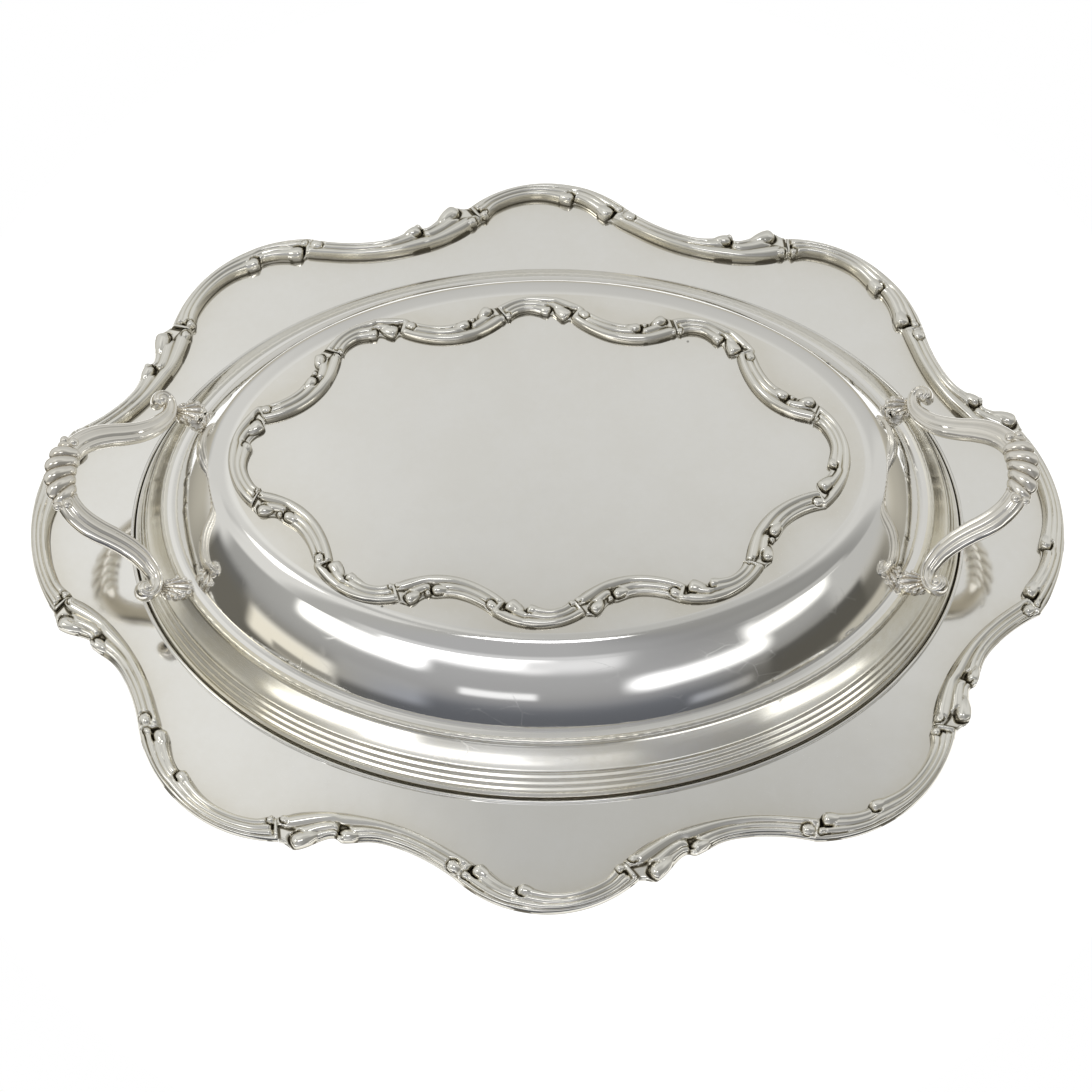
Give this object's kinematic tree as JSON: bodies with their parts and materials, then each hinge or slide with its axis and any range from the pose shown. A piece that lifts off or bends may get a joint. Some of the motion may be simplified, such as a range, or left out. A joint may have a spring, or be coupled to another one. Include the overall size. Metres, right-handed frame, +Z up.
{
  "type": "covered vegetable dish",
  "caption": "Oval covered serving dish with a scalloped flange and a lift-off domed lid that carries a cast handle at each end.",
  "frame": {"origin": "centre of the table face under the foot ring", "axes": "+Z up, X along the long axis through the two handles"},
  "size_m": [0.3436, 0.268, 0.0919],
  "materials": {
    "silver_sheet": "polished",
    "silver_cast": "polished, warm tarnish in the hollows"
  },
  "bodies": {
    "base": {"base_dish": "silver_sheet", "foot_ring": "silver_sheet", "rim_mount_1": "silver_cast", "rim_mount_2": "silver_cast", "rim_mount_3": "silver_cast", "rim_mount_4": "silver_cast", "rim_mount_5": "silver_cast", "rim_mount_6": "silver_cast", "rim_mount_7": "silver_cast", "rim_mount_8": "silver_cast"},
    "lid": {"lid_shell": "silver_sheet", "lid_mount_1": "silver_cast", "lid_mount_2": "silver_cast", "lid_mount_3": "silver_cast", "lid_mount_4": "silver_cast", "lid_mount_5": "silver_cast", "lid_mount_6": "silver_cast", "lid_mount_7": "silver_cast", "lid_mount_8": "silver_cast", "handle_right": "silver_cast", "handle_left": "silver_cast"}
  },
  "joints": [
    {"name": "lid_lift", "type": "slide", "parent": "base", "child": "lid", "axis": [0, 0, 1], "range_m": [0, 0.1]}
  ]
}
